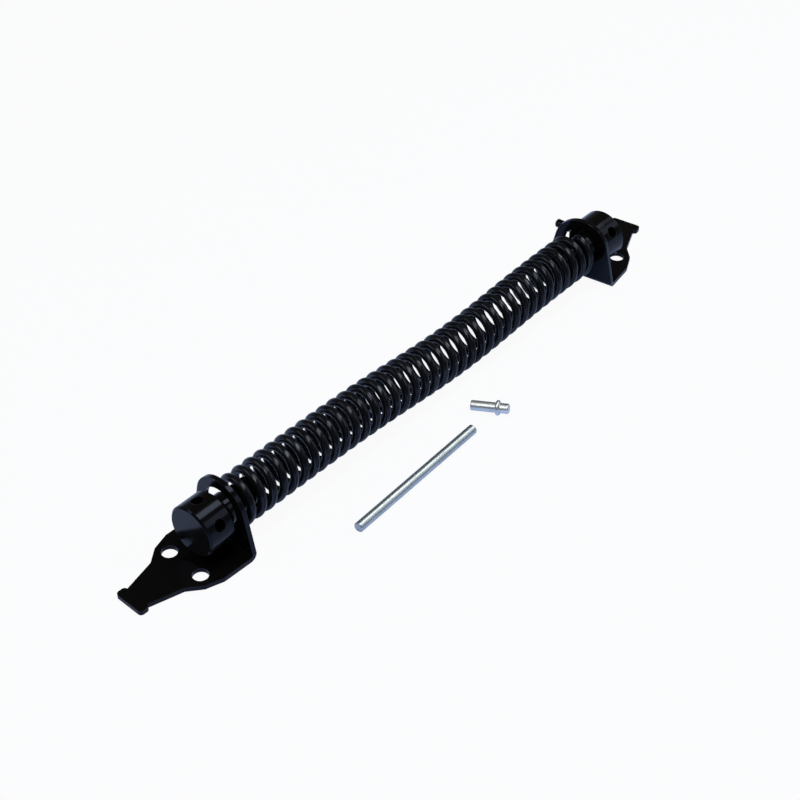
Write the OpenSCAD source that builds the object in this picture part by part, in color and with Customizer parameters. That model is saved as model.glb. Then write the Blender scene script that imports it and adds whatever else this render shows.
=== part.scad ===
// Gate spring closer: two sheet-metal brackets joined by a torsion coil
// on two turned collars, with a loose tension bar and a locking pin.
// Millimetres. +X runs along the coil from the near bracket to the far one,
// +Z stands up off the mounting face, and the origin is midway between
// the near bracket's two screw holes, on that face.

/* [Bracket plate] */
// Thickness of the bent sheet
plate_t = 2.5; // [1.5:0.1:4]
// Inside radius of the bend
bend_in_r = 1.5; // [0.5:0.1:3]
// Width of the sheet at the bend
sheet_w = 41.6; // [38:0.1:52]
// Length of the flange from the upright to its tip
flange_len = 59.3; // [50:0.1:75]
// Length of the full-width part of the flange
shoulder_x = 18.1; // [14:0.1:19]
// Distance from the upright to the first corner of the taper
taper_x = 27.8; // [24:0.1:31]
// Width of the flange at that corner
taper_w = 35.6; // [33:0.1:40]
// Distance from the upright to the start of the tail
tail_x = 35.3; // [33:0.1:40]
// Width of the flange at the start of the tail
tail_w = 24; // [20:0.1:30]
// Width of the tail where it meets the tip bar
tip_neck_w = 13.3; // [10:0.1:15]
// Width over the rounded tip bar
tip_w = 17.9; // [15.5:0.1:22]
// Length of the tip bar along the flange
tip_len = 5.8; // [4.2:0.1:8]
// Radius of the tip bar's corners
tip_r = 2; // [0.8:0.1:2]
// Diameter of the two screw holes
screw_d = 8.2; // [5:0.1:9.5]
// Distance between the two screw holes
screw_gap = 22; // [20:0.1:25]
// Distance from the upright to the screw holes
screw_x = 24.4; // [23.5:0.1:27]
// Radius of the upright's round top
eye_r = 16.5; // [15:0.1:19]
// Height of the round top's centre
eye_z = 21.9; // [21:0.1:27]
// Diameter of the hole that the collar turns in
eye_hole_d = 22; // [19:0.1:24]

/* [Placing of the brackets] */
// Distance between the two uprights
upright_gap = 282.2; // [282:0.1:290]
// Turn of the near bracket on its loose fit, seen from above
near_yaw = -1.7; // [-3:0.1:3]
// Turn of the far bracket on its loose fit, seen from above
far_yaw = 9.1; // [0:0.1:11]

/* [Collars] */
// Diameter of the drum
drum_d = 27.8; // [25.6:0.1:30]
// Length of the drum
drum_len = 16; // [12:0.1:17]
// Chamfer on the drum's edges
drum_chamfer = 1; // [0.4:0.1:2]
// Space between the near upright's middle and the near drum
near_stand = 4.8; // [4.2:0.1:5.2]
// Space between the far upright's middle and the far drum
far_stand = 5.8; // [5.4:0.1:8]
// Diameter of the neck that lies in the upright's hole
neck_d = 16.4; // [13:0.1:17]
// Length of the neck past the upright's middle
neck_past = 2.8; // [2.4:0.1:3]
// Gap under the neck in the upright's hole
neck_play = 0.3; // [0.2:0.05:0.6]
// Length of the near spigot inside the coil
near_spigot = 22; // [16:0.5:40]
// Length of the far spigot inside the coil
far_spigot = 30; // [16:0.5:40]
// Number of bar holes around a drum
bar_holes = 5; // [3:1:5]
// Diameter of a bar hole
bar_hole_d = 6.2; // [5.6:0.1:7]
// Depth of a bar hole
bar_hole_deep = 7.5; // [6:0.1:8]
// Turn of the near collar's first bar hole, from level towards upward
near_hole_turn = 7; // [0:1:71]
// Turn of the far collar's stop pin, from level towards upward
far_pin_turn = -4; // [-20:1:20]

/* [Coil spring] */
// Diameter of the wire
wire_d = 4.5; // [3:0.1:5]
// Outside diameter of the coil
coil_od = 26.9; // [25.4:0.1:28]
// Mean distance from one turn to the next
coil_pitch = 7.41; // [7.1:0.01:7.43]
// Share by which the slack middle turns stand wider apart than that
pitch_swell = 0.02; // [0:0.001:0.04]
// Number of turns
coil_turns = 36.5; // [35:0.5:36.5]
// Turn of the wire where the near end leaves the hook
coil_phase = 290; // [0:1:359]
// Lean of the turns in degrees, tops towards the far end
coil_lean = 4.8; // [0:0.1:6]
// Drop of the slack coil at its lowest place
coil_sag = 4.9; // [0:0.1:5]
// Place of the lowest point as a share of the distance between uprights
sag_share = 0.6; // [0.4:0.001:0.6]
// Spread of the slack to each side
sag_spread = 55; // [25:1:56]
// Radius of the wire's turn into the collar
hook_r = 3.4; // [3:0.1:3.6]

/* [Stop pin] */
// Diameter of the stop pin
stop_d = 5; // [4:0.1:5.4]
// Distance from the coil's axis to the stop pin's tip
stop_reach = 27.6; // [22:0.1:30]

/* [Loose tension bar] */
// Diameter of the bar
bar_d = 5.3; // [4:0.1:5.4]
// Length of the bar
bar_len = 92.5; // [70:0.5:130]
// Place of the bar's near end along the coil
bar_x = 71; // [55:0.1:90]
// Place of the bar's near end to the left
bar_y = -45.5; // [-60:0.1:-36]
// Turn of the bar seen from above
bar_yaw = 2.7; // [-5:0.1:5]

/* [Loose locking pin] */
// Diameter of the pin
lock_d = 5.4; // [4:0.1:5.6]
// Length of the pin's long end
lock_long = 13.1; // [10:0.1:18]
// Diameter of the pin's ring
lock_ring_d = 8.2; // [7:0.1:11]
// Width of the pin's ring
lock_ring_w = 2.4; // [2:0.1:5]
// Length of the pin's short end
lock_short = 4.7; // [3:0.1:8]
// Place of the long end's tip along the coil
lock_x = 177.1; // [174:0.1:190]
// Place of the long end's tip to the left
lock_y = -28.6; // [-34:0.1:-24]
// Turn of the pin seen from above
lock_yaw = -64.3; // [-80:0.1:-55]

/* [Hidden] */
$fn = 96;
black = [0.06, 0.06, 0.07];
zinc = [0.74, 0.77, 0.80];
// Fits and small breaks of edges
through = 1;
pin_fit = 0.05;
hook_play = 0.5;
lean_turns = 2;
coil_play = 0.8;
ground_gap = 0.6;
end_chamfer = 0.5;
// Bracket
bend_out_r = bend_in_r + plate_t;
half_w = sheet_w / 2;
eye_to_edge = norm([half_w, eye_z - bend_out_r]);
side_turn = acos(eye_r / eye_to_edge) - atan2(eye_z - bend_out_r, half_w);
// Places along the coil
near_mid_x = screw_x + plate_t / 2;
far_mid_x = near_mid_x + upright_gap;
axis_y = near_mid_x * sin(near_yaw);
axis_z = eye_z - (eye_hole_d / 2 - neck_d / 2 - neck_play);
near_row_x = near_mid_x - near_stand - drum_len / 2;
far_row_x = far_mid_x + far_stand + drum_len / 2;
bar_step = 360 / bar_holes;
bar_seat_r = drum_d / 2 - bar_hole_deep;
// Coil: eight six-sided rings to a turn, of the round wire's own area
ring_sides = 6;
turn_rings = 8;
hook_rings = 4;
tube_r = wire_d / 2 * sqrt(2 * PI / (ring_sides * sin(360 / ring_sides)));
tube_flat = tube_r * cos(180 / ring_sides);
mean_r = (coil_od - wire_d) / 2;
inner_r = mean_r * cos(180 / turn_rings) - tube_flat;
spigot_r = min(inner_r - coil_play, neck_d / 2 - end_chamfer);
coil_start_x = near_mid_x + (upright_gap - coil_turns * coil_pitch) / 2;
coil_end_x = coil_start_x + coil_turns * coil_pitch;
coil_end_turn = coil_phase - 360 * coil_turns;
swell_turns = pitch_swell * coil_turns / (2 * PI);
sag_x = near_mid_x + sag_share * upright_gap;
coil_drop = max(0, min(coil_sag, axis_z - coil_od / 2 - ground_gap));
// The wire's end turns until it points straight at the axis
hook_mid_r = mean_r - hook_r;
hook_lead = asin(hook_r / hook_mid_r);
hook_sweep = 90 + hook_lead;
hook_tip_r = sqrt(hook_mid_r * hook_mid_r - hook_r * hook_r) - wire_d;
hook_seat_r = hook_tip_r - hook_play;
hook_hole_d = 2 * (tube_r + hook_play);
// Locking pin rests on the tip of its long end and on its ring
lock_ring_x = lock_long + lock_ring_w / 2;
lock_tilt = atan((lock_ring_d - lock_d) / 2 / lock_ring_x);
ring_step = 15;

// Points of the coil's middle line, with the outward and lengthwise directions of each ring
function drop(x) = -coil_drop * exp(-pow((x - sag_x) / sag_spread, 2));
function outward(turn) = [0, cos(turn), sin(turn)];
function sideways(turn) = [0, -sin(turn), cos(turn)];
function on_axis(x) = [x, axis_y, axis_z + drop(x)];
function unit(v) = v / norm(v);
function turn_at(u) = coil_phase - 360 * u;
function x_at(u) = coil_start_x + coil_pitch * (u - swell_turns * sin(360 * u / coil_turns));
function lean(u) = coil_lean * min(1, u / lean_turns, (coil_turns - u) / lean_turns);
function along(u) = [coil_pitch, 0, 0] - 2 * PI * mean_r * sideways(turn_at(u));
function coil_ring(u) = [
    on_axis(x_at(u)) + mean_r * (outward(turn_at(u)) + [tan(lean(u)) * sin(turn_at(u)), 0, 0]),
    outward(turn_at(u)),
    unit(cross(along(u), outward(turn_at(u))))];
function hook_out(turn, way, b) = cos(b) * outward(turn) + way * sin(b) * sideways(turn);
function hook_on(turn, way, b) = way * cos(b) * sideways(turn) - sin(b) * outward(turn);
function hook_ring(x, turn, way, b, run) = [
    on_axis(x) + hook_mid_r * outward(turn) + hook_r * hook_out(turn, way, b)
        + run * hook_on(turn, way, b),
    hook_out(turn, way, b),
    [1, 0, 0]];
hook_step = hook_sweep / hook_rings;
coil_rings = concat(
    [hook_ring(coil_start_x, coil_phase, 1, hook_sweep, wire_d)],
    [for (i = [hook_rings:-1:1]) hook_ring(coil_start_x, coil_phase, 1, i * hook_step, 0)],
    [for (i = [0:turn_rings * coil_turns]) coil_ring(i / turn_rings)],
    [for (i = [1:hook_rings]) hook_ring(coil_end_x, coil_end_turn, -1, i * hook_step, 0)],
    [hook_ring(coil_end_x, coil_end_turn, -1, hook_sweep, wire_d)]);
coil_points = [for (r = coil_rings, k = [0:ring_sides - 1])
    let (a = (k + 0.5) * 360 / ring_sides)
    r[0] + tube_r * (cos(a) * r[1] + sin(a) * r[2])];
last_ring = len(coil_rings) - 1;
function corner(i, k) = i * ring_sides + k % ring_sides;
coil_faces = concat(
    [for (k = [1:ring_sides - 2]) [corner(0, 0), corner(0, k), corner(0, k + 1)]],
    [for (i = [0:last_ring - 1], k = [0:ring_sides - 1])
        [corner(i, k), corner(i + 1, k), corner(i, k + 1)]],
    [for (i = [0:last_ring - 1], k = [0:ring_sides - 1])
        [corner(i, k + 1), corner(i + 1, k), corner(i + 1, k + 1)]],
    [for (k = [1:ring_sides - 2])
        [corner(last_ring, 0), corner(last_ring, k + 1), corner(last_ring, k)]]);
// Least distance between the surface points of one ring and those half a turn to a turn and a half on
coil_gap = min([for (i = [0:last_ring - turn_rings / 2])
    for (j = [i + turn_rings / 2:min(last_ring, i + 1.5 * turn_rings)])
        min([for (k = [0:ring_sides - 1], m = [0:ring_sides - 1])
            norm(coil_points[corner(i, k)] - coil_points[corner(j, m)])])]);
echo(least_gap_of_coil_to_itself = coil_gap);

// One bracket with its upright at x = 0 and its flange towards +X, flat on z = 0
module flange_outline() {
    tip_x = flange_len - tip_len;
    tip_y = tip_w / 2;
    polygon([
        [bend_in_r, half_w], [shoulder_x, half_w], [taper_x, taper_w / 2], [tail_x, tail_w / 2],
        [tip_x + tip_r, tip_neck_w / 2], [tip_x + tip_r, -tip_neck_w / 2],
        [tail_x, -tail_w / 2], [taper_x, -taper_w / 2], [shoulder_x, -half_w], [bend_in_r, -half_w]]);
    translate([tip_x + tip_r, -tip_y])
        square([tip_len - 2 * tip_r, tip_w]);
    translate([tip_x, tip_r - tip_y])
        square([tip_len, tip_w - 2 * tip_r]);
    for (x = [tip_x + tip_r, flange_len - tip_r], y = [tip_r - tip_y, tip_y - tip_r])
        translate([x, y])
            circle(tip_r);
}

module bend() {
    translate([bend_in_r, 0, bend_out_r])
        intersection() {
            rotate([90, 0, 0])
                difference() {
                    cylinder(r = bend_out_r, h = sheet_w, center = true);
                    cylinder(r = bend_in_r, h = sheet_w + 2 * through, center = true);
                }
            translate([-bend_out_r, -half_w, -bend_out_r])
                cube([bend_out_r, sheet_w, bend_out_r]);
        }
}

module upright() {
    side_y = eye_r * cos(side_turn);
    side_z = eye_z + eye_r * sin(side_turn);
    translate([-plate_t, 0, 0])
        rotate([90, 0, 90])
            linear_extrude(plate_t) {
                translate([0, eye_z])
                    circle(eye_r);
                polygon([
                    [-half_w, bend_out_r], [half_w, bend_out_r],
                    [side_y, side_z], [-side_y, side_z]]);
            }
}

module bracket() {
    difference() {
        union() {
            linear_extrude(plate_t)
                flange_outline();
            bend();
            upright();
        }
        for (side = [-1, 1])
            translate([screw_x, side * screw_gap / 2, -through])
                cylinder(d = screw_d, h = plate_t + 2 * through);
        translate([-plate_t - through, 0, eye_z])
            rotate([0, 90, 0])
                cylinder(d = eye_hole_d, h = plate_t + 2 * through);
    }
}

module near_bracket() {
    color(black)
        rotate([0, 0, near_yaw])
            translate([near_mid_x - plate_t / 2, 0, 0])
                rotate([0, 0, 180])
                    bracket();
}

module far_bracket() {
    color(black)
        translate([far_mid_x, axis_y, 0])
            rotate([0, 0, far_yaw])
                translate([plate_t / 2, 0, 0])
                    bracket();
}

// One collar on the X axis: upright's middle at x = 0, drum towards -X, spigot towards +X
module collar_body(stand, spigot_len) {
    drum_r = drum_d / 2;
    neck_r = neck_d / 2;
    rotate([90, 0, 90])
        rotate_extrude()
            polygon([
                [0, -stand - drum_len], [drum_r - drum_chamfer, -stand - drum_len],
                [drum_r, -stand - drum_len + drum_chamfer], [drum_r, -stand - drum_chamfer],
                [drum_r - drum_chamfer, -stand], [neck_r, -stand], [neck_r, neck_past],
                [spigot_r, neck_past], [spigot_r, spigot_len - end_chamfer],
                [spigot_r - end_chamfer, spigot_len], [0, spigot_len]]);
}

// A round cut or pin that points away from the coil's axis at place x
module spoke(x, turn, from_r) {
    translate([x, axis_y, axis_z])
        rotate([turn - 90, 0, 0])
            translate([0, 0, from_r])
                children();
}

module bar_hole(x, turn, d) {
    spoke(x, turn, bar_seat_r)
        cylinder(d = d, h = bar_hole_deep + through);
}

module hook_hole(x, turn) {
    spoke(x, turn, hook_seat_r)
        cylinder(d = hook_hole_d, h = spigot_r - hook_seat_r + through);
}

module near_collar() {
    color(black)
        difference() {
            translate([near_mid_x, axis_y, axis_z])
                collar_body(near_stand, near_spigot);
            for (i = [0:bar_holes - 1])
                bar_hole(near_row_x, near_hole_turn + i * bar_step, bar_hole_d);
            hook_hole(coil_start_x, coil_phase + hook_lead);
        }
}

module far_collar() {
    color(black)
        difference() {
            translate([far_mid_x, axis_y, axis_z])
                mirror([1, 0, 0])
                    collar_body(far_stand, far_spigot);
            bar_hole(far_row_x, far_pin_turn, stop_d + 2 * pin_fit);
            for (i = [2:bar_holes - 1])
                bar_hole(far_row_x, far_pin_turn + i * bar_step, bar_hole_d);
            hook_hole(coil_end_x, coil_end_turn - hook_lead);
        }
}

module coil_spring() {
    color(black)
        polyhedron(points = coil_points, faces = coil_faces);
}

// A turned rod along +Z with broken edges
module rod(d, len) {
    rod_r = d / 2;
    rotate_extrude()
        polygon([
            [0, 0], [rod_r - end_chamfer, 0], [rod_r, end_chamfer],
            [rod_r, len - end_chamfer], [rod_r - end_chamfer, len], [0, len]]);
}

module stop_pin() {
    color(black)
        spoke(far_row_x, far_pin_turn, bar_seat_r)
            rod(stop_d, stop_reach - bar_seat_r);
}

module tension_bar() {
    color(zinc)
        translate([bar_x, bar_y, bar_d / 2])
            rotate([0, 90, bar_yaw])
                rod(bar_d, bar_len);
}

module locking_pin() {
    lock_r = lock_d / 2;
    ring_rise = lock_ring_d / 2 - lock_r;
    lock_end = lock_long + lock_ring_w + lock_short;
    ring_edge = [for (a = [-90:ring_step:90])
        [lock_r + ring_rise * cos(a), lock_ring_x + lock_ring_w / 2 * sin(a)]];
    color(zinc)
        translate([lock_x, lock_y, lock_r * cos(lock_tilt)])
            rotate([0, 90 - lock_tilt, lock_yaw])
                rotate_extrude()
                    polygon(concat(
                        [[0, 0], [lock_r, 0]], ring_edge, [[lock_r, lock_end - end_chamfer],
                        [lock_r - end_chamfer, lock_end], [0, lock_end]]));
}

near_bracket();
far_bracket();
near_collar();
far_collar();
coil_spring();
stop_pin();
tension_bar();
locking_pin();
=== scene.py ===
import bpy
import numpy as np
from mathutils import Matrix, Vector


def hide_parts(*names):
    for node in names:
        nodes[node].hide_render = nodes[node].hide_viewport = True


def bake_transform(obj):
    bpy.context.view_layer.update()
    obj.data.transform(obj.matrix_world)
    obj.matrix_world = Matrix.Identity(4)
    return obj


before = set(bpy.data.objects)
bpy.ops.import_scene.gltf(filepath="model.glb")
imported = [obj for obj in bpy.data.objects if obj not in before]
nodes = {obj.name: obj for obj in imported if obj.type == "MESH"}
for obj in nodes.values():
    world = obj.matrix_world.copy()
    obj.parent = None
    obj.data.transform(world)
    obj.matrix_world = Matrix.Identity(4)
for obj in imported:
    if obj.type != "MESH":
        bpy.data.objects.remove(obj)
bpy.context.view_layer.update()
scene = bpy.context.scene
mm = 0.001
print("frame loaded:", ", ".join(sorted(nodes)))


def linear(hexColour):
    # sRGB hex to linear: a straight foot near black, a 2.4 power above it
    c = np.array([int(hexColour[i:i + 2], 16) for i in (1, 3, 5)]) / 255
    c = np.where(c <= 0.04045, c / 12.92, ((c + 0.055) / 1.055) ** 2.4)
    return (*c.tolist(), 1.0)


def add(tree, kind, feeds=None, **settings):
    # one node with its settings; a feed is a fixed value or the socket that drives it
    node = tree.nodes.new(kind)
    for name, value in settings.items():
        setattr(node, name, value)
    for name, value in (feeds or {}).items():
        if isinstance(value, bpy.types.NodeSocket):
            tree.links.new(value, node.inputs[name])
        else:
            node.inputs[name].default_value = value
    return node


def newMaterial(name):
    material = bpy.data.materials.new(name)
    material.use_nodes = True
    material.node_tree.nodes.clear()
    return material, material.node_tree


def dress(material, *names):
    for name in names:
        nodes[name].data.materials.clear()
        nodes[name].data.materials.append(material)


def turnedTo(place, aims):
    # the turn that points a camera or a lamp from its place at its aim
    return (Vector(aims) - Vector(place)).to_track_quat("-Z", "Y").to_euler()


# camera, lengths in metres
view = {
    "stands": (-0.35605, -0.44886, 0.5859),
    "aims": (0.15785, 0.00404, 0.0),
    "lens": 77.16,
    "sensor": 36,
    "nearest": 0.01,            # nothing closer is drawn
}
cameraData = bpy.data.cameras.new("camera")
cameraData.lens = view["lens"]
cameraData.sensor_width = view["sensor"]
cameraData.clip_start = view["nearest"]
camera = bpy.data.objects.new("camera", cameraData)
camera.location = view["stands"]
camera.rotation_euler = turnedTo(view["stands"], view["aims"])
scene.collection.objects.link(camera)
scene.camera = camera
scene.view_settings.view_transform = "Standard"

# floor and room, lengths in metres
stage = {
    "half": 3.0,                # half the floor's side
    "sunk": 0.2 * mm,           # keeps the floor out of the brackets' faces
    "white": "#ffffff",
    "card": "#d3dff6",          # the floor's own colour, in the cool light
    "cool": "#a9c4fa",          # the plain tone of the floor in the gloss of paint and zinc
    "shade": 0.06,              # share of the floor that takes shadow, as the camera sees it
    "glossShade": 0.60,         # the same share in the gloss of paint and zinc
    "wall": "#6f7684",          # dim cool walls above the floor's edge
    "ceiling": "#4c4743",       # dark studio overhead
    "wallTop": 0.45,            # sine of the height at which the walls have faded out
}


def straight(tree):
    # 1 on rays from the camera and on rays through something clear
    path = add(tree, "ShaderNodeLightPath").outputs
    return add(tree, "ShaderNodeMath", {
        0: path["Is Camera Ray"],
        1: path["Is Transmission Ray"]}, operation="MAXIMUM").outputs[0]


# the camera looks through most of the floor to the white beyond it, and the rest takes the object's shadow;
# paint and zinc mirror the floor partly in a plain tone
floorMaterial, tree = newMaterial("matt white card")
through = add(tree, "ShaderNodeMath", {
    0: straight(tree), 1: 1 - stage["shade"]}, operation="MULTIPLY").outputs[0]
matt = add(tree, "ShaderNodeBsdfDiffuse", {"Color": linear(stage["card"])}).outputs[0]
clear = add(tree, "ShaderNodeBsdfTransparent", {"Color": linear(stage["white"])}).outputs[0]
glow = add(tree, "ShaderNodeEmission", {"Color": linear(stage["cool"]), "Strength": 1.0}).outputs[0]
seen = add(tree, "ShaderNodeMixShader", {0: through, 1: matt, 2: clear}).outputs[0]
mirrored = add(tree, "ShaderNodeMixShader", {0: 1 - stage["glossShade"], 1: matt, 2: glow}).outputs[0]
inGloss = add(tree, "ShaderNodeLightPath").outputs["Is Glossy Ray"]
card = add(tree, "ShaderNodeMixShader", {0: inGloss, 1: seen, 2: mirrored}).outputs[0]
add(tree, "ShaderNodeOutputMaterial", {"Surface": card})

half = stage["half"]
corners = [(-half, -half, 0), (half, -half, 0), (half, half, 0), (-half, half, 0)]
floorMesh = bpy.data.meshes.new("floor")
floorMesh.from_pydata(corners, [], [(0, 1, 2, 3)])
floorMesh.materials.append(floorMaterial)
floor = bpy.data.objects.new("floor", floorMesh)
floor.location.z = -stage["sunk"]
scene.collection.objects.link(floor)

world = bpy.data.worlds.new("studio")
world.use_nodes = True
tree = world.node_tree
tree.nodes.clear()
way = add(tree, "ShaderNodeTexCoord").outputs["Generated"]
height = add(tree, "ShaderNodeSeparateXYZ", {"Vector": way}).outputs["Z"]
fade = add(tree, "ShaderNodeMapRange", {
    "Value": height, "From Max": stage["wallTop"]}, interpolation_type="SMOOTHSTEP").outputs[0]
walls = add(tree, "ShaderNodeMix", {
    "Factor": fade,
    "A": linear(stage["wall"]),
    "B": linear(stage["ceiling"])}, data_type="RGBA").outputs["Result"]
# through the floor and past its edge the camera sees plain white
shown = add(tree, "ShaderNodeMix", {
    "Factor": straight(tree),
    "A": walls,
    "B": linear(stage["white"])}, data_type="RGBA").outputs["Result"]
room = add(tree, "ShaderNodeBackground", {"Color": shown, "Strength": 1.0}).outputs[0]
add(tree, "ShaderNodeOutputWorld", {"Surface": room})
scene.world = world

# softboxes, lengths in metres and power in watts
lamps = {
    "key": {                    # long strip overhead
        "place": (0.22, -0.12, 1.05),
        "aims": (0.22, -0.12, 0.0),
        "size": (2.10, 0.42),
        "power": 10.5,
        "colour": "#fbfdff",
    },
    "side": {                   # beyond the far end, on the right
        "place": (0.85, -0.66, 0.75),
        "aims": (0.16, 0.0, 0.02),
        "size": (0.90, 0.50),
        "power": 1.6,
        "colour": "#f2f6ff",
    },
    "fill": {                   # behind the coil, on the left
        "place": (-0.60, 0.75, 0.80),
        "aims": (0.16, 0.0, 0.02),
        "size": (0.80, 0.60),
        "power": 2,
        "colour": "#f2f6ff",
    },
}
for name, lamp in lamps.items():
    data = bpy.data.lights.new(name, "AREA")
    data.shape = "RECTANGLE"
    data.size, data.size_y = lamp["size"]
    data.energy = lamp["power"]
    data.color = linear(lamp["colour"])[:3]
    softbox = bpy.data.objects.new(name, data)
    softbox.location = lamp["place"]
    softbox.rotation_euler = turnedTo(lamp["place"], lamp["aims"])
    scene.collection.objects.link(softbox)
print("camera, floor and lamps set")


# noise that gives every finish its soft uneven patches
patchy = {"Detail": 4.0, "Roughness": 0.6}
bevelRays = 6

# gloss black electro-coat: a thin film baked on steel, deep black and mirror-like, faintly rippled,
# thinner and greyer on the edges
blackCoat = {
    "deep": "#070605",
    "thin": "#0d0b0a",
    "edge": "#2a2c33",
    "tint": "#c3d2f2",          # cool cast of the gloss
    "ior": 1.5,
    "shine": 0.24,              # specular level, set below the usual 0.5 to match the object
    "roughness": (0.10, 0.17),  # where the film is clear and where it is cloudy
    "edgeRoughness": 0.12,      # added on worn edges
    "cloud": 16 * mm,           # patches of uneven film
    "cloudSpan": (0.3, 0.7),    # noise values of clear and cloudy film
    "ripple": 1.4 * mm,         # orange peel of the baked film, drawn a little coarse so that it shows
    "rippleHeight": 0.06 * mm,
    "bump": 0.10,
    "speck": 0.7 * mm,          # dust under the film
    "speckSpan": (0.74, 0.80),  # noise values from the foot of a speck to its top
    "speckHeight": 0.25,        # share of the ripple's height
    "round": 0.5 * mm,          # broken edge of pressed and turned steel
    "edgeSpan": (0.99, 0.80),   # cosine between the rounded normal and the flat one, sound to worn
}


def blackCoatMaterial(name, coat):
    material, tree = newMaterial(name)
    place = add(tree, "ShaderNodeTexCoord").outputs["Object"]
    cloud = add(tree, "ShaderNodeTexNoise", {
        "Vector": place, "Scale": 1 / coat["cloud"], **patchy}).outputs["Fac"]
    ripple = add(tree, "ShaderNodeTexNoise", {
        "Vector": place, "Scale": 1 / coat["ripple"], "Detail": 1.5}).outputs["Fac"]
    speck = add(tree, "ShaderNodeTexNoise", {
        "Vector": place, "Scale": 1 / coat["speck"], "Detail": 0.0}).outputs["Fac"]
    dust = add(tree, "ShaderNodeMapRange", {
        "Value": speck,
        "From Min": coat["speckSpan"][0], "From Max": coat["speckSpan"][1]}).outputs[0]
    # an edge is where the rounded normal leaves the flat one
    soft = add(tree, "ShaderNodeBevel", {"Radius": coat["round"]}, samples=bevelRays).outputs["Normal"]
    flat = add(tree, "ShaderNodeNewGeometry").outputs["Normal"]
    cosine = add(tree, "ShaderNodeVectorMath", {0: soft, 1: flat}, operation="DOT_PRODUCT").outputs["Value"]
    edge = add(tree, "ShaderNodeMapRange", {
        "Value": cosine,
        "From Min": coat["edgeSpan"][0], "From Max": coat["edgeSpan"][1]}).outputs[0]
    worn = add(tree, "ShaderNodeMath", {0: edge, 1: cloud}, operation="MULTIPLY").outputs[0]
    film = add(tree, "ShaderNodeMix", {
        "Factor": cloud,
        "A": linear(coat["deep"]),
        "B": linear(coat["thin"])}, data_type="RGBA").outputs["Result"]
    colour = add(tree, "ShaderNodeMix", {
        "Factor": worn,
        "A": film,
        "B": linear(coat["edge"])}, data_type="RGBA").outputs["Result"]
    haze = add(tree, "ShaderNodeMapRange", {
        "Value": cloud,
        "From Min": coat["cloudSpan"][0], "From Max": coat["cloudSpan"][1],
        "To Min": coat["roughness"][0], "To Max": coat["roughness"][1]}).outputs[0]
    roughness = add(tree, "ShaderNodeMath", {
        0: worn, 1: coat["edgeRoughness"], 2: haze}, operation="MULTIPLY_ADD").outputs[0]
    height = add(tree, "ShaderNodeMath", {
        0: dust, 1: coat["speckHeight"], 2: ripple}, operation="MULTIPLY_ADD").outputs[0]
    skin = add(tree, "ShaderNodeBump", {
        "Strength": coat["bump"], "Distance": coat["rippleHeight"],
        "Height": height, "Normal": soft}).outputs[0]
    paint = add(tree, "ShaderNodeBsdfPrincipled", {
        "Base Color": colour, "Roughness": roughness, "Normal": skin, "IOR": coat["ior"],
        "Specular IOR Level": coat["shine"], "Specular Tint": linear(coat["tint"])}).outputs[0]
    add(tree, "ShaderNodeOutputMaterial", {"Surface": paint})
    return material


blackSteel = blackCoatMaterial("gloss black electro-coated pressed steel", blackCoat)
dress(blackSteel, "near_bracket", "far_bracket", "near_collar", "far_collar", "stop_pin")
print("black coat on brackets, collars and stop pin")


# bright zinc plate on steel rod: a cool silver mirror dulled by fine tool marks,
# cloudy where the bath was uneven
zincPlate = {
    "roughness": (0.42, 0.34),  # where the plate is dull and where it is bright
    "glossSpan": (0.45, 1.0),   # tones of that dull and bright plate
    "toneSpan": (0.5, 1.0),     # tones that take the dull and the bright colour
    "markShare": 0.5,           # weight of the tool marks in the tone, beside the clouds
    "markHeight": 0.05 * mm,
    "bump": 0.10,
    "cloud": 7 * mm,
    "round": 0.35 * mm,
}
tensionBar = {
    "bright": "#d3dbdb",
    "dull": "#b5bfc1",
    "yaw": 2.7,                 # how the bar lies, degrees
    "marks": (150 * mm, 0.60 * mm, 0.60 * mm),  # die lines along the drawn bar, drawn coarser than life
}
lockingPin = {
    "bright": "#f2f4f2",
    "dull": "#dadfde",
    "yaw": -64.3,
    "marks": (0.60 * mm, 9 * mm, 9 * mm),       # tool rings round the turned pin, drawn coarser than life
}


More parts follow.
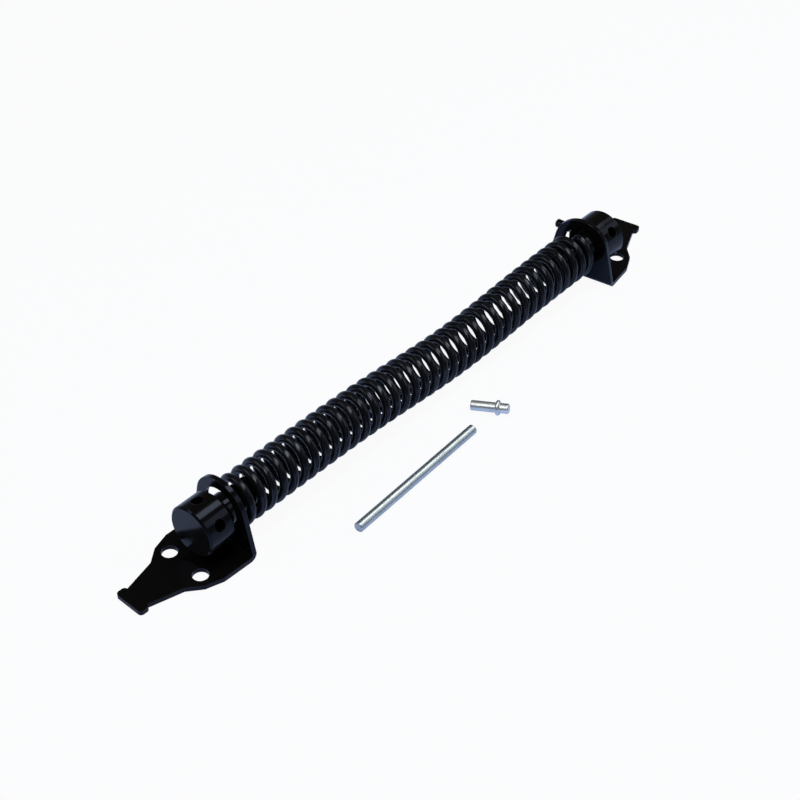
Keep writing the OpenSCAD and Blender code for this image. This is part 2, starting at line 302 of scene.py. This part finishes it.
def zincMaterial(name, plate, rod):
    material, tree = newMaterial(name)
    place = add(tree, "ShaderNodeTexCoord").outputs["Object"]
    # the pattern's X lies along the rod, and its marks are stretched to their own length, width and depth
    along = add(tree, "ShaderNodeMapping", {
        "Vector": place, "Rotation": (0, 0, -np.radians(rod["yaw"]))}, vector_type="POINT").outputs[0]
    lined = add(tree, "ShaderNodeMapping", {
        "Vector": along, "Scale": [1 / size for size in rod["marks"]]}, vector_type="POINT").outputs[0]
    lines = add(tree, "ShaderNodeTexNoise", {
        "Vector": lined, "Scale": 1.0, "Detail": 1.0, "Roughness": 0.5}).outputs["Fac"]
    cloud = add(tree, "ShaderNodeTexNoise", {
        "Vector": place, "Scale": 1 / plate["cloud"], **patchy}).outputs["Fac"]
    soft = add(tree, "ShaderNodeBevel", {"Radius": plate["round"]}, samples=bevelRays).outputs["Normal"]
    tone = add(tree, "ShaderNodeMath", {
        0: lines, 1: plate["markShare"], 2: cloud}, operation="MULTIPLY_ADD").outputs[0]
    share = add(tree, "ShaderNodeMapRange", {
        "Value": tone,
        "From Min": plate["toneSpan"][0], "From Max": plate["toneSpan"][1]}).outputs[0]
    colour = add(tree, "ShaderNodeMix", {
        "Factor": share,
        "A": linear(rod["dull"]),
        "B": linear(rod["bright"])}, data_type="RGBA").outputs["Result"]
    roughness = add(tree, "ShaderNodeMapRange", {
        "Value": tone,
        "From Min": plate["glossSpan"][0], "From Max": plate["glossSpan"][1],
        "To Min": plate["roughness"][0], "To Max": plate["roughness"][1]}).outputs[0]
    skin = add(tree, "ShaderNodeBump", {
        "Strength": plate["bump"], "Distance": plate["markHeight"],
        "Height": lines, "Normal": soft}).outputs[0]
    metal = add(tree, "ShaderNodeBsdfPrincipled", {
        "Base Color": colour, "Metallic": 1.0, "Roughness": roughness, "Normal": skin}).outputs[0]
    add(tree, "ShaderNodeOutputMaterial", {"Surface": metal})
    return material


dress(zincMaterial("bright zinc-plated drawn steel", zincPlate, tensionBar), "tension_bar")
dress(zincMaterial("bright zinc-plated turned steel", zincPlate, lockingPin), "locking_pin")
print("zinc on tension bar and locking pin")


# the coil: round spring wire wound left-handed, slack in the middle, its ends turned in to the collars;
# lengths in mm, angles in degrees
coil = {
    "wire": 4.5,
    "outside": 26.9,
    "pitch": 7.41,
    "swell": 0.02,              # share by which the pitch is wider in the middle and closer at the ends
    "turns": 36.5,
    "phase": 290.0,             # where the winding starts, round from +Y
    "lean": 4.8,                # tops of the turns towards the far end
    "leanTurns": 2,             # turns at each end over which the lean grows
    "midX": 166.75,
    "axisY": -0.761,
    "axisZ": 19.4,
    "sag": 4.9,
    "sagX": 194.97,             # lowest place, 0.6 of the way between the uprights
    "sagSpread": 55.0,
    "hook": 3.4,                # bend radius of the ends
    "ringsPerTurn": 40,
    "hookRings": 16,
    "sides": 20,
}


def coilPath(c):
    # middle line of the wire: a leaning circle of the mean radius about a sagging axis, one left-hand turn
    # per pitch; at each end it bends inwards on the hook radius until it points at the axis, then runs
    # straight for one wire diameter; each point also gets the two directions that its ring of wire lies in

    def axis(at):
        # level, less a bell-shaped sag
        drop = c["sag"] * np.exp(-((at - c["sagX"]) / c["sagSpread"]) ** 2)
        return np.stack([at, 0 * at + c["axisY"], c["axisZ"] - drop], -1)

    def outward(angle):
        return np.stack([0 * angle, np.cos(angle), np.sin(angle)], -1)

    def sideways(angle):
        return np.stack([0 * angle, -np.sin(angle), np.cos(angle)], -1)

    r = (c["outside"] - c["wire"]) / 2
    u = np.linspace(0, c["turns"], int(c["turns"] * c["ringsPerTurn"]) + 1)
    start = c["midX"] - c["turns"] * c["pitch"] / 2
    crowd = c["swell"] * c["turns"] / (2 * np.pi) * np.sin(2 * np.pi * u / c["turns"])
    x = start + c["pitch"] * (u - crowd)
    turn = np.radians(c["phase"]) - 2 * np.pi * u
    grow = np.minimum(1, np.minimum(u, c["turns"] - u) / c["leanTurns"])
    leanX = r * np.tan(np.radians(c["lean"] * grow)) * np.sin(turn)
    body = axis(x) + r * outward(turn) + np.stack([leanX, 0 * x, 0 * x], -1)
    along = np.array([c["pitch"], 0, 0]) - 2 * np.pi * r * sideways(turn)
    third = np.cross(along, outward(turn))
    third /= np.linalg.norm(third, axis=1, keepdims=True)

    hookMid = r - c["hook"]
    sweep = np.pi / 2 + np.arcsin(c["hook"] / hookMid)
    bend = np.linspace(sweep / c["hookRings"], sweep, c["hookRings"])
    bend = np.append(bend, sweep)[:, None]
    run = np.append(np.zeros(c["hookRings"]), c["wire"])[:, None]

    def hook(at, angle, way):
        out = np.cos(bend) * outward(angle) + way * np.sin(bend) * sideways(angle)
        on = way * np.cos(bend) * sideways(angle) - np.sin(bend) * outward(angle)
        line = axis(at) + hookMid * outward(angle) + c["hook"] * out + run * on
        return line, out, np.tile([1.0, 0.0, 0.0], (len(bend), 1))

    near = [part[::-1] for part in hook(x[0], turn[0], 1)]
    far = hook(x[-1], turn[-1], -1)
    return [np.concatenate(parts) for parts in zip(near, (body, outward(turn), third), far)]


def tube(name, line, out, third, radius, sides):
    # a circle of the wire's radius carried along the middle line, closed with a flat cap at each end;
    # U is the length along the wire, V the way round it
    count = len(line)
    a = np.linspace(0, 2 * np.pi, sides, endpoint=False)[None, :, None]
    points = line[:, None] + radius * (np.cos(a) * out[:, None] + np.sin(a) * third[:, None])
    i, k = np.meshgrid(np.arange(count - 1), np.arange(sides), indexing="ij")
    here, ahead, after = i * sides, (i + 1) * sides, (k + 1) % sides
    quads = np.stack([here + after, ahead + after, ahead + k, here + k], -1).reshape(-1, 4)
    caps = [list(range(sides))[::-1], list(range((count - 1) * sides, count * sides))]
    length = np.append(0, np.cumsum(np.linalg.norm(np.diff(line, axis=0), axis=1)))
    uAt = np.stack([length[i], length[i + 1], length[i + 1], length[i]], -1)
    vAt = np.stack([k + 1, k + 1, k, k], -1) / sides
    wall = np.stack([uAt, vAt], -1).reshape(-1, 2)
    ends = np.zeros((2 * sides, 2))
    mesh = bpy.data.meshes.new(name)
    mesh.from_pydata(points.reshape(-1, 3).tolist(), [], quads.tolist() + caps)
    layer = mesh.uv_layers.new(name="wire")
    layer.data.foreach_set("uv", np.concatenate([wall, ends]).ravel())
    mesh.shade_smooth()
    piece = bpy.data.objects.new(name, mesh)
    scene.collection.objects.link(piece)
    return piece


# black electro-coat on drawn spring wire: the same film, less level, over fine die lines along the wire,
# so that its gloss breaks into streaks
wireCoat = {
    "deep": "#0a0a0c",
    "thin": "#15161a",
    "tint": "#d8e0f2",          # cool cast of the gloss
    "ior": 1.5,
    "shine": (0.06, 0.62),      # specular level of the dimmest and the brightest streaks
    "shineSpan": (0.38, 0.62),  # noise values of those streaks
    "roughness": (0.13, 0.23),  # where the film is clear and where it is cloudy
    "cloud": 9 * mm,
    "cloudSpan": (0.3, 0.7),
    "line": 0.60 * mm,          # width of a die line, drawn coarser than life
    "lineRun": 18 * mm,         # its length along the wire
    "lineHeight": 1.2,          # share of the ripple's height
    "ripple": 1.1 * mm,
    "rippleHeight": 0.08 * mm,
    "bump": 0.40,
}


def wireMaterial(name, coat, around):
    material, tree = newMaterial(name)
    place = add(tree, "ShaderNodeTexCoord").outputs
    lined = add(tree, "ShaderNodeMapping", {
        "Vector": place["UV"],
        "Scale": (1 / coat["lineRun"], around / coat["line"], 1.0)}).outputs[0]
    lines = add(tree, "ShaderNodeTexNoise", {
        "Vector": lined, "Scale": 1.0, "Detail": 2.0}).outputs["Fac"]
    cloud = add(tree, "ShaderNodeTexNoise", {
        "Vector": place["Object"], "Scale": 1 / coat["cloud"], **patchy}).outputs["Fac"]
    ripple = add(tree, "ShaderNodeTexNoise", {
        "Vector": place["Object"], "Scale": 1 / coat["ripple"], "Detail": 1.5}).outputs["Fac"]
    film = add(tree, "ShaderNodeMix", {
        "Factor": cloud,
        "A": linear(coat["deep"]),
        "B": linear(coat["thin"])}, data_type="RGBA").outputs["Result"]
    roughness = add(tree, "ShaderNodeMapRange", {
        "Value": cloud,
        "From Min": coat["cloudSpan"][0], "From Max": coat["cloudSpan"][1],
        "To Min": coat["roughness"][0], "To Max": coat["roughness"][1]}).outputs[0]
    shine = add(tree, "ShaderNodeMapRange", {
        "Value": lines,
        "From Min": coat["shineSpan"][0], "From Max": coat["shineSpan"][1],
        "To Min": coat["shine"][0], "To Max": coat["shine"][1]}).outputs[0]
    height = add(tree, "ShaderNodeMath", {
        0: lines, 1: coat["lineHeight"], 2: ripple}, operation="MULTIPLY_ADD").outputs[0]
    skin = add(tree, "ShaderNodeBump", {
        "Strength": coat["bump"], "Distance": coat["rippleHeight"], "Height": height}).outputs[0]
    paint = add(tree, "ShaderNodeBsdfPrincipled", {
        "Base Color": film, "Roughness": roughness, "Normal": skin, "IOR": coat["ior"],
        "Specular IOR Level": shine, "Specular Tint": linear(coat["tint"])}).outputs[0]
    add(tree, "ShaderNodeOutputMaterial", {"Surface": paint})
    return material


line, out, third = coilPath(coil)
spring = tube("smooth_coil", line * mm, out, third, coil["wire"] / 2 * mm, coil["sides"])
around = np.pi * coil["wire"] * mm
spring.data.materials.append(wireMaterial("black electro-coated spring wire", wireCoat, around))
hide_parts("coil_spring")
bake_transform(spring)
print("coil wound:", len(spring.data.polygons), "faces")
